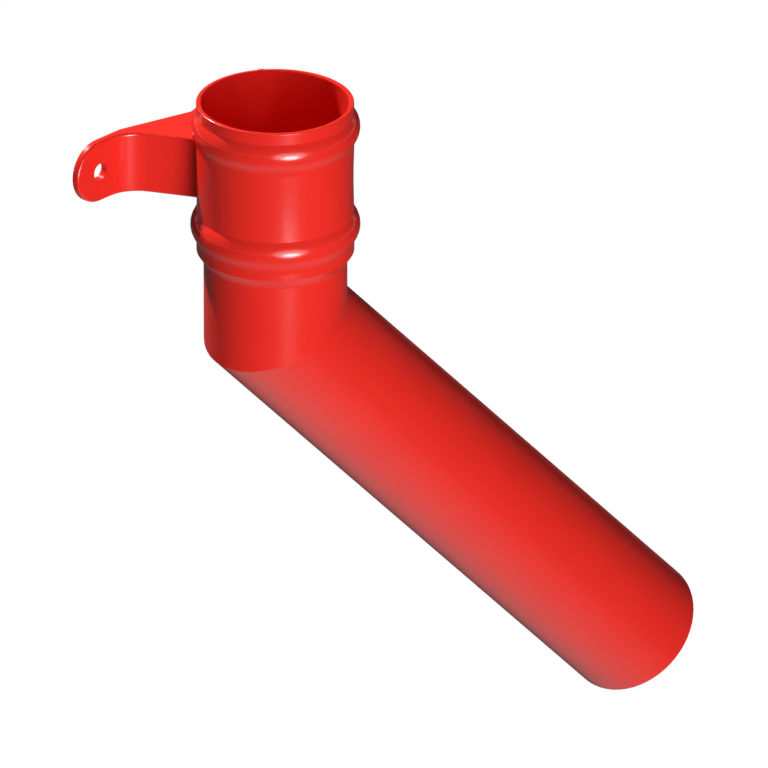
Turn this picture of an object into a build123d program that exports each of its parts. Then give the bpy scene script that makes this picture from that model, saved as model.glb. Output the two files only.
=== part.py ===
from build123d import *
from math import cos, radians, sin, sqrt, tan
import os

# Eared downpipe elbow, one casting: a beaded socket with two wall ears, a short drop, a mitred bend
# and a long slanting tail. Millimetres. The origin is the centre of the socket's mouth. +Z runs up the pipe,
# +X runs along the wall the way the tail goes, and +Y runs from the pipe to the wall.

# Pipe and bend
PIPE_DIAMETER = 76.0
PIPE_WALL = 2.5
BEND_ANGLE = 45.0
MOUTH_TO_BEND = 126.2
BEND_TO_TAIL_END = 389.0
CORNER_REACH = 40.0
END_CHAMFER = 0.5

# Socket that takes the spigot of the pipe above
SOCKET_CLEARANCE = 1.05
COLLAR_WALL = 2.7
COLLAR_LENGTH = 85.0
SHOULDER_ANGLE = 34.0
SHOULDER_FOOT_RADIUS = 3.0
SEAT_THICKNESS = 5.0
RIM_EDGE_ROUND = 0.5

# Two beads round the socket, and the slight waist between them
BEAD_HEIGHT = 3.2
BEAD_CREST_RADIUS = 9.7
BEAD_FOOT_RADIUS = 11.4
BEAD_FLANK_ANGLE = 34.0
MOUTH_TO_FIRST_BEAD = 14.1
BEAD_SPACING = 56.5
WAIST_DEPTH = 0.4

# Wall ears, between the beads
FIXING_CENTRES = 122.0
FIXING_HOLE_DIAMETER = 9.4
AXIS_TO_WALL = 73.2
LUG_THICKNESS = 4.0
EAR_HEIGHT = 34.2
ARM_ANGLE = 62.4
ARM_FOOT_HALF_SPAN = 41.5
ARM_BEND_RADIUS = 19.0
ARM_ROOT_RADIUS = 3.0
ARM_ROOT_BITE = 0.2
BACK_SLOPE_HALF_SPAN = 42.0
BACK_SLOPE_DEPTH = 11.5
FRONT_EDGE_ROUND = 1.5

# Pocket that lightens the back of the ears
EAR_SHELL = 3.6
POCKET_CORNER_RADIUS = 3.0
POCKET_EDGE_ROUND = 1.5

# Cutters run this far past the surface that they open
OVERRUN = 2.0

# Sizes that follow
pipe_radius = PIPE_DIAMETER / 2
bore_radius = pipe_radius - PIPE_WALL
socket_radius = pipe_radius + SOCKET_CLEARANCE
collar_radius = socket_radius + COLLAR_WALL
socket_depth = COLLAR_LENGTH - SEAT_THICKNESS
shoulder_end = COLLAR_LENGTH + (collar_radius - pipe_radius) / tan(radians(SHOULDER_ANGLE))
seat_drop = socket_radius - bore_radius
bead_depths = (MOUTH_TO_FIRST_BEAD, MOUTH_TO_FIRST_BEAD + BEAD_SPACING)
ear_middle = -(MOUTH_TO_FIRST_BEAD + BEAD_SPACING / 2)
lug_front = AXIS_TO_WALL - LUG_THICKNESS
lug_end = FIXING_CENTRES / 2 + EAR_HEIGHT / 2
tail_direction = Vector(sin(radians(BEND_ANGLE)), 0, -cos(radians(BEND_ANGLE)))
bend_centre = Vector(0, 0, -MOUTH_TO_BEND)
tail_end = bend_centre + tail_direction * BEND_TO_TAIL_END


def bead_lower_half():
    """Height from a bead's crest down to where its foot runs out into the collar."""
    centres = BEAD_CREST_RADIUS + BEAD_FOOT_RADIUS
    return sqrt(centres**2 - (centres - BEAD_HEIGHT) ** 2)


def bead_flank_top():
    """Height above the crest, and out from the collar, at which the crest's round turns into the flank."""
    slope = radians(BEAD_FLANK_ANGLE)
    return BEAD_CREST_RADIUS * sin(slope), BEAD_HEIGHT - BEAD_CREST_RADIUS * (1 - cos(slope))


def bead_upper_half():
    """Height from a bead's crest up to the crease where its flank meets the collar."""
    rise, proud = bead_flank_top()
    return rise + proud / tan(radians(BEAD_FLANK_ANGLE))


def bead_outline(depth):
    """One bead from its crease down: a straight flank, a round crest, and a foot that runs out smoothly."""
    crest = collar_radius + BEAD_HEIGHT
    rise, proud = bead_flank_top()
    share = BEAD_CREST_RADIUS / (BEAD_CREST_RADIUS + BEAD_FOOT_RADIUS)
    lower_join_x = crest - share * BEAD_HEIGHT
    upper_join = (collar_radius + proud, -depth + rise)
    lower_join = (lower_join_x, -depth - share * bead_lower_half())
    flank = Line((collar_radius, -depth + bead_upper_half()), upper_join)
    top = ThreePointArc(upper_join, (crest, -depth), lower_join)
    foot = TangentArc((collar_radius, -depth - bead_lower_half()), lower_join, tangent=(0, 1))
    return [flank, top, foot]


def make_collar():
    """The beaded collar and the shoulder below it, turned as a solid: the waterway opens it later."""
    first, second = bead_depths
    first_crease = -first + bead_upper_half()
    waist_top = -first - bead_lower_half()
    waist_end = -second + bead_upper_half()
    waist_middle = (waist_top + waist_end) / 2
    lines = [
        Line((0, 0), (collar_radius, 0)),
        Line((collar_radius, 0), (collar_radius, first_crease)),
        *bead_outline(first),
        ThreePointArc(
            (collar_radius, waist_top),
            (collar_radius - WAIST_DEPTH, waist_middle),
            (collar_radius, waist_end),
        ),
        *bead_outline(second),
        Line((collar_radius, -second - bead_lower_half()), (collar_radius, -COLLAR_LENGTH)),
        Line((collar_radius, -COLLAR_LENGTH), (pipe_radius, -shoulder_end)),
        Line((pipe_radius, -shoulder_end), (0, -shoulder_end)),
        Line((0, -shoulder_end), (0, 0)),
    ]
    return revolve(Plane.XZ * make_face(lines), Axis.Z)


def make_tube(radius, top, end_overrun=0.0):
    """A round bar down the drop, mitred at the bend and on down the tail to its end.

    The corner is a ruled skin from a circle to the mitre's ellipse to a circle, so the straight round walls
    of the drop and the tail begin square, at the corner's reach.
    """
    half_bend = radians(BEND_ANGLE / 2)
    mitre_across = (cos(half_bend), 0, sin(half_bend))
    mitre_normal = (sin(half_bend), 0, -cos(half_bend))
    tail_across = (cos(2 * half_bend), 0, sin(2 * half_bend))
    drop_plane = Plane(origin=bend_centre + Vector(0, 0, CORNER_REACH), x_dir=(1, 0, 0), z_dir=(0, 0, -1))
    mitre_plane = Plane(origin=bend_centre, x_dir=mitre_across, z_dir=mitre_normal)
    tail_start = bend_centre + tail_direction * CORNER_REACH
    tail_plane = Plane(origin=tail_start, x_dir=tail_across, z_dir=tail_direction)
    drop_ring = drop_plane * Circle(radius)
    mitre_ring = mitre_plane * Ellipse(radius / cos(half_bend), radius)
    tail_ring = tail_plane * Circle(radius)
    drop = extrude(drop_ring, drop_plane.origin.Z - top)
    corner = loft([drop_ring, mitre_ring, tail_ring], ruled=True)
    tail = extrude(tail_ring, BEND_TO_TAIL_END - CORNER_REACH + end_overrun)
    return drop + corner + tail


def make_waterway():
    """Socket bore, sloping seat for the spigot's end, and the pipe's bore through the bend."""
    seat_end = -socket_depth - seat_drop
    socket = Polyline(
        (0, OVERRUN),
        (socket_radius, OVERRUN),
        (socket_radius, -socket_depth),
        (bore_radius, seat_end),
        (0, seat_end),
        close=True,
    )
    return revolve(Plane.XZ * make_face(socket), Axis.Z) + make_tube(bore_radius, seat_end, OVERRUN)


def arm_line_x(y, inset=0.0):
    """Distance from the middle plane to an arm's side face, or to a line inset behind it, at a distance y."""
    slant = radians(ARM_ANGLE)
    return ARM_FOOT_HALF_SPAN - (lug_front - y) / tan(slant) - inset / sin(slant)


def both_sides(corners):
    """A face with these corners on the +X side, and its mirror image."""
    half = make_face(Polyline(*corners, close=True))
    return half + mirror(half, Plane.YZ)


def round_corners(plan, half_span, depth, radius):
    """Rounds the two mirrored corners of a plan that stand at this place."""
    corners = [v for v in plan.vertices() if abs(abs(v.X) - half_span) < 0.01 and abs(v.Y - depth) < 0.01]
    return fillet(corners, radius)


def round_at_circle(plan, circle_radius, radius):
    """Rounds the corners where straight sides of a plan meet a circle about the pipe."""
    corners = [v for v in plan.vertices() if abs(sqrt(v.X**2 + v.Y**2) - circle_radius) < 0.001 and v.Y > 0]
    return fillet(corners, radius)


def make_ears():
    """Both ears and the web that joins them behind the socket, hollowed from the wall side."""
    root = collar_radius / 2
    hub_radius = collar_radius - WAIST_DEPTH - ARM_ROOT_BITE
    plan = Circle(hub_radius) + both_sides(
        [
            (0, root),
            (arm_line_x(root), root),
            (ARM_FOOT_HALF_SPAN, lug_front),
            (lug_end, lug_front),
            (lug_end, AXIS_TO_WALL),
            (BACK_SLOPE_HALF_SPAN, AXIS_TO_WALL),
            (0, AXIS_TO_WALL - BACK_SLOPE_DEPTH),
        ]
    )
    plan = round_corners(plan, ARM_FOOT_HALF_SPAN, lug_front, ARM_BEND_RADIUS)
    plan = round_at_circle(plan, hub_radius, ARM_ROOT_RADIUS)
    ears = extrude(Plane.XY.offset(ear_middle) * plan, EAR_HEIGHT / 2, both=True)
    face_on = Plane.XZ * Pos(0, ear_middle) * SlotCenterToCenter(FIXING_CENTRES, EAR_HEIGHT)
    ears = ears & extrude(face_on, AXIS_TO_WALL * 2, both=True)
    return round_front_edges(ears) - make_pocket() - make_fixing_holes()


def round_front_edges(ears):
    """Rounds the edges all round the front of the ears, from one lug's end to the other's."""

    def is_front(edge):
        middle = edge @ 0.5
        slope = BACK_SLOPE_DEPTH * abs(middle.X) / BACK_SLOPE_HALF_SPAN
        back = min(AXIS_TO_WALL, AXIS_TO_WALL - BACK_SLOPE_DEPTH + slope)
        flat = abs((edge @ 0).Z - (edge @ 1).Z) < 0.001 and abs((edge @ 0).Z - middle.Z) < 0.001
        on_rim = abs(middle.Y - lug_front) < 0.001 and not flat
        return on_rim or (flat and middle.Y < back - LUG_THICKNESS / 4)

    return fillet([edge for edge in ears.edges() if is_front(edge)], FRONT_EDGE_ROUND)


def make_pocket():
    """The hollow behind the socket, open to the wall. The arms, webs and lugs stay a shell thick."""
    root = collar_radius / 2
    beyond = AXIS_TO_WALL + OVERRUN
    plan = both_sides(
        [
            (0, root),
            (arm_line_x(root, EAR_SHELL), root),
            (arm_line_x(beyond, EAR_SHELL), beyond),
            (0, beyond),
        ]
    )
    plan = plan - Circle(collar_radius)
    plan = round_at_circle(plan, collar_radius, POCKET_CORNER_RADIUS)
    pocket = extrude(Plane.XY.offset(ear_middle) * plan, EAR_HEIGHT / 2 - EAR_SHELL, both=True)
    ends = pocket.faces().filter_by(Axis.Z)
    return fillet(ends.edges(), POCKET_EDGE_ROUND)


def make_fixing_holes():
    """The two screw holes, one through each lug."""
    pair = Sketch() + GridLocations(FIXING_CENTRES, 0, 2, 1) * Circle(FIXING_HOLE_DIAMETER / 2)
    return extrude(Plane.XZ * Pos(0, ear_middle) * pair, -(AXIS_TO_WALL + OVERRUN))


def rings_at(casting, centre, radius):
    """The round edges of this radius about this point."""
    rings = casting.edges().filter_by(GeomType.CIRCLE)
    return [e for e in rings if (e.arc_center - centre).length < 0.001 and abs(e.radius - radius) < 0.001]


def ease_ends(casting):
    """Rounds the collar's rims and the shoulder's foot, and bevels the mouth's inside and the tail's end."""
    mouth_centre = Vector(0, 0, 0)
    lower_centre = Vector(0, 0, -COLLAR_LENGTH)
    foot_centre = Vector(0, 0, -shoulder_end)
    rims = rings_at(casting, mouth_centre, collar_radius) + rings_at(casting, lower_centre, collar_radius)
    casting = fillet(rims, RIM_EDGE_ROUND)
    casting = fillet(rings_at(casting, foot_centre, pipe_radius), SHOULDER_FOOT_RADIUS)
    lead_in = rings_at(casting, mouth_centre, socket_radius)
    tail_edges = rings_at(casting, tail_end, pipe_radius) + rings_at(casting, tail_end, bore_radius)
    return chamfer(lead_in + tail_edges, END_CHAMFER)


def make_elbow():
    """The whole casting in one solid."""
    outside = make_collar() + make_tube(pipe_radius, -COLLAR_LENGTH / 2) + make_ears()
    return ease_ends(outside - make_waterway())


elbow = make_elbow()
os.makedirs("parts", exist_ok=True)
export_step(elbow, "parts/elbow.step")
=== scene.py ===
import bpy
import numpy as np
from mathutils import Euler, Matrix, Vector


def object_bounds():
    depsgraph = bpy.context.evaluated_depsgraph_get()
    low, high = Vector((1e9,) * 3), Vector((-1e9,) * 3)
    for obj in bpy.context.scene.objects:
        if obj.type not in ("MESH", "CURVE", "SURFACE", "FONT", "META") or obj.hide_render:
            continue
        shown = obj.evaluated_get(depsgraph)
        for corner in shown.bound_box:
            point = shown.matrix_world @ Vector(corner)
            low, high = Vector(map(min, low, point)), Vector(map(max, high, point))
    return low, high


# The downpipe elbow in its red gloss paint, hung above a pale studio floor. Metres, linear colours.

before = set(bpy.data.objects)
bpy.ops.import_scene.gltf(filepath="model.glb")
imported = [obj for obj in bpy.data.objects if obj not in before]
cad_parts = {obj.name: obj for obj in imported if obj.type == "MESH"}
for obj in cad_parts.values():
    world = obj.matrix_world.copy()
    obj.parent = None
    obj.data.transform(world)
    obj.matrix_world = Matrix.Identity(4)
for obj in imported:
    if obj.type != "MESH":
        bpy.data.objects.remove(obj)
cad_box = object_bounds()
low, high = cad_box
middle = (low + high) / 2

WHITE = (1.0, 1.0, 1.0, 1.0)

# Paint: where the coat is thin, where it is deep, and its gloss
PAINT_RED = (0.80, 0.0255, 0.0170, 1.0)
PAINT_DEEP_RED = (0.76, 0.0225, 0.0150, 1.0)
GLOSSIEST = 0.175
DULLEST = 0.195
SPECULAR_LEVEL = 0.58

# A noise value lies mostly in this range
NOISE_LOW = 0.3
NOISE_HIGH = 0.7

# Floor: a disc of rings, well below the elbow, and the pale patch of it that shows in gloss
FLOOR_DROP = 1.25
FLOOR_RINGS = (1.0, 3.0, 10.0, 30.0, 100.0)
FLOOR_SPOKES = 96
FLOOR_GREY = (0.05, 0.05, 0.05, 1.0)
FLOOR_ROUGHNESS = 0.9
FLOOR_GLOW = 0.94
PATCH_GLOW = 0.50
PATCH_RADIUS = 2.1
floor_centre = Vector((middle.x, middle.y, low.z - FLOOR_DROP))

# Room: white below the horizon and dim above it. A direction's height runs from -1 to 1.
HORIZON_START = 0.012
HORIZON_END = 0.020
ROOM_LIGHT = 0.05

# Camera: the photograph's viewing angle in degrees, and a long lens in millimetres from far off
CAMERA_TILT = 64.8552
CAMERA_ROLL = 0.0609
CAMERA_HEADING = -46.2847
CAMERA_AIM = (0.07122, -0.01105, -0.18501)
CAMERA_DISTANCE = 19.0
LENS_LENGTH = 1680.0
SENSOR_WIDTH = 36.0
NEAREST_SEEN = 1.0
FARTHEST_SEEN = 60.0


def new_material(name):
    """A new node material. Returns it, its node tree and its shader."""
    material = bpy.data.materials.new(name)
    material.use_nodes = True
    tree = material.node_tree
    return material, tree, tree.nodes["Principled BSDF"]


def own_coordinates(tree):
    """The place on the object, in metres."""
    return tree.nodes.new("ShaderNodeTexCoord").outputs["Object"]


def noise(tree, where, scale, detail):
    """A noise value read at a place, with as many lumps a metre as scale says."""
    texture = tree.nodes.new("ShaderNodeTexNoise")
    texture.inputs["Scale"].default_value = scale
    texture.inputs["Detail"].default_value = detail
    tree.links.new(where, texture.inputs["Vector"])
    return texture.outputs["Fac"]


def ranged(tree, value, start, end, first, last, curve="LINEAR"):
    """Carries a value that runs from start to end over to one that runs from first to last."""
    node = tree.nodes.new("ShaderNodeMapRange")
    node.interpolation_type = curve
    node.inputs["From Min"].default_value = start
    node.inputs["From Max"].default_value = end
    node.inputs["To Min"].default_value = first
    node.inputs["To Max"].default_value = last
    tree.links.new(value, node.inputs["Value"])
    return node.outputs["Result"]


def combined(tree, operation, first, second):
    """Two values taken together, such as their product or the greater one."""
    node = tree.nodes.new("ShaderNodeMath")
    node.operation = operation
    tree.links.new(first, node.inputs[0])
    tree.links.new(second, node.inputs[1])
    return node.outputs[0]


def scaled(tree, value, factor):
    """A value times a plain number."""
    node = tree.nodes.new("ShaderNodeMath")
    node.operation = "MULTIPLY"
    node.inputs[1].default_value = factor
    tree.links.new(value, node.inputs[0])
    return node.outputs[0]


def bump(tree, height, strength, depth):
    """Bumps of a depth in metres, where a height value rises and falls."""
    node = tree.nodes.new("ShaderNodeBump")
    node.inputs["Strength"].default_value = strength
    node.inputs["Distance"].default_value = depth
    tree.links.new(height, node.inputs["Height"])
    return node


def glossy_red_paint():
    """Red gloss coat on a casting, a little deeper in some places than in others. Its gloss flows a
    little, and it has fine orange peel over a trace of the cast skin."""
    material, tree, shader = new_material("glossy_red_paint")
    where = own_coordinates(tree)

    depth = tree.nodes.new("ShaderNodeMix")
    depth.data_type = "RGBA"
    depth.inputs["A"].default_value = PAINT_RED
    depth.inputs["B"].default_value = PAINT_DEEP_RED
    clouds = noise(tree, where, scale=14.0, detail=3.0)
    tree.links.new(ranged(tree, clouds, NOISE_LOW, NOISE_HIGH, 0.0, 1.0), depth.inputs["Factor"])
    tree.links.new(depth.outputs["Result"], shader.inputs["Base Color"])

    flow = noise(tree, where, scale=60.0, detail=4.0)
    gloss = ranged(tree, flow, NOISE_LOW, NOISE_HIGH, GLOSSIEST, DULLEST)
    tree.links.new(gloss, shader.inputs["Roughness"])

    peel = bump(tree, noise(tree, where, scale=700.0, detail=2.0), strength=0.03, depth=0.0003)
    skin = bump(tree, noise(tree, where, scale=90.0, detail=3.0), strength=0.04, depth=0.001)
    tree.links.new(peel.outputs["Normal"], skin.inputs["Normal"])
    tree.links.new(skin.outputs["Normal"], shader.inputs["Normal"])

    shader.inputs["Specular IOR Level"].default_value = SPECULAR_LEVEL
    return material


def paint_elbow():
    """The casting keeps its own mesh and takes the paint."""
    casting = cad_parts["elbow"]
    casting.data.materials.clear()
    casting.data.materials.append(glossy_red_paint())


def pale_floor():
    """Dark and dull to the lamps, so that it throws little light back at the elbow. Its own glow makes
    it nearly white to the camera, and gives gloss and glass a pale patch that fades outwards."""
    material, tree, shader = new_material("pale_floor")
    shader.inputs["Base Color"].default_value = FLOOR_GREY
    shader.inputs["Roughness"].default_value = FLOOR_ROUGHNESS
    shader.inputs["Specular IOR Level"].default_value = 0.0

    away = tree.nodes.new("ShaderNodeVectorMath")
    away.operation = "DISTANCE"
    away.inputs[1].default_value = floor_centre
    tree.links.new(own_coordinates(tree), away.inputs[0])
    patch = ranged(tree, away.outputs["Value"], 0.0, PATCH_RADIUS, PATCH_GLOW, 0.0, "SMOOTHSTEP")

    rays = tree.nodes.new("ShaderNodeLightPath").outputs
    mirrored = combined(tree, "MAXIMUM", rays["Is Glossy Ray"], rays["Is Transmission Ray"])
    in_gloss = combined(tree, "MULTIPLY", mirrored, patch)
    in_view = scaled(tree, rays["Is Camera Ray"], FLOOR_GLOW)
    glow = tree.nodes.new("ShaderNodeEmission")
    tree.links.new(combined(tree, "MAXIMUM", in_view, in_gloss), glow.inputs["Strength"])

    lit_and_glowing = tree.nodes.new("ShaderNodeAddShader")
    tree.links.new(shader.outputs[0], lit_and_glowing.inputs[0])
    tree.links.new(glow.outputs[0], lit_and_glowing.inputs[1])
    tree.links.new(lit_and_glowing.outputs[0], tree.nodes["Material Output"].inputs["Surface"])
    return material


def studio_floor():
    """A flat disc. Its points lie on rings round a hub: the hub's place, plus the ring's radius times
    the cosine of the spoke's angle along x and times its sine along y. The hub and the first ring make
    triangles, and each ring and the next make four-sided faces."""
    spokes = np.linspace(0, 2 * np.pi, FLOOR_SPOKES, endpoint=False)
    radius, angle = np.meshgrid(FLOOR_RINGS, spokes, indexing="ij")
    x = floor_centre.x + (radius * np.cos(angle)).ravel()
    y = floor_centre.y + (radius * np.sin(angle)).ravel()
    z = np.full(x.size, floor_centre.z)
    points = np.vstack([floor_centre, np.column_stack([x, y, z])])

    here = np.arange(FLOOR_SPOKES)
    beside = (here + 1) % FLOOR_SPOKES
    triangles = np.column_stack([np.zeros_like(here), 1 + here, 1 + beside])
    inner = 1 + np.arange(len(FLOOR_RINGS) - 1)[:, None] * FLOOR_SPOKES
    outer = inner + FLOOR_SPOKES
    corners = [inner + here, outer + here, outer + beside, inner + beside]
    quads = np.stack(corners, axis=-1).reshape(-1, 4)

    mesh = bpy.data.meshes.new("studio_floor")
    mesh.from_pydata(points.tolist(), [], triangles.tolist() + quads.tolist())
    mesh.update()
    mesh.materials.append(pale_floor())
    floor = bpy.data.objects.new("studio_floor", mesh)
    bpy.context.scene.collection.objects.link(floor)


def round_lamp(name, direction, distance, diameter, watts):
    """A round area lamp that faces the middle of the elbow from a direction."""
    light = bpy.data.lights.new(name, "AREA")
    light.shape = "DISK"
    light.size = diameter
    light.energy = watts
    outward = Vector(direction).normalized()
    lamp = bpy.data.objects.new(name, light)
    lamp.location = middle + outward * distance
    lamp.rotation_euler = outward.to_track_quat("Z", "Y").to_euler()
    bpy.context.scene.collection.objects.link(lamp)


def studio_lamps():
    """A lamp and a wide soft screen in front, about level with the elbow, and a small lamp high
    behind it."""
    round_lamp("front_lamp", (-0.45, -0.89, -0.06), distance=4.0, diameter=1.5, watts=99.0)
    round_lamp("front_screen", (-0.468, -0.881, 0.07), distance=4.0, diameter=3.2, watts=85.0)
    round_lamp("back_lamp", (0.055, 0.741, 0.669), distance=6.0, diameter=0.5, watts=705.0)


def studio_room():
    """White light below the horizon, beyond the floor's edge, and a dim even room above it."""
    world = bpy.data.worlds.new("studio_room")
    bpy.context.scene.world = world
    world.use_nodes = True
    tree = world.node_tree
    direction = tree.nodes.new("ShaderNodeTexCoord").outputs["Generated"]
    axes = tree.nodes.new("ShaderNodeSeparateXYZ")
    tree.links.new(direction, axes.inputs["Vector"])
    room = tree.nodes["Background"]
    room.inputs["Color"].default_value = WHITE
    light = ranged(tree, axes.outputs["Z"], HORIZON_START, HORIZON_END, 1.0, ROOM_LIGHT)
    tree.links.new(light, room.inputs["Strength"])


def photo_camera():
    """A long lens far off, so that the view is nearly parallel, as in the photograph."""
    lens = bpy.data.cameras.new("photo_camera")
    lens.sensor_width = SENSOR_WIDTH
    lens.lens = LENS_LENGTH
    lens.clip_start = NEAREST_SEEN
    lens.clip_end = FARTHEST_SEEN
    turn = Euler(np.radians((CAMERA_TILT, CAMERA_ROLL, CAMERA_HEADING)))
    camera = bpy.data.objects.new("photo_camera", lens)
    camera.location = Vector(CAMERA_AIM) + turn.to_matrix() @ Vector((0, 0, CAMERA_DISTANCE))
    camera.rotation_euler = turn
    bpy.context.scene.collection.objects.link(camera)
    bpy.context.scene.camera = camera


paint_elbow()
studio_floor()
studio_lamps()
studio_room()
photo_camera()
bpy.context.scene.view_settings.view_transform = "Standard"
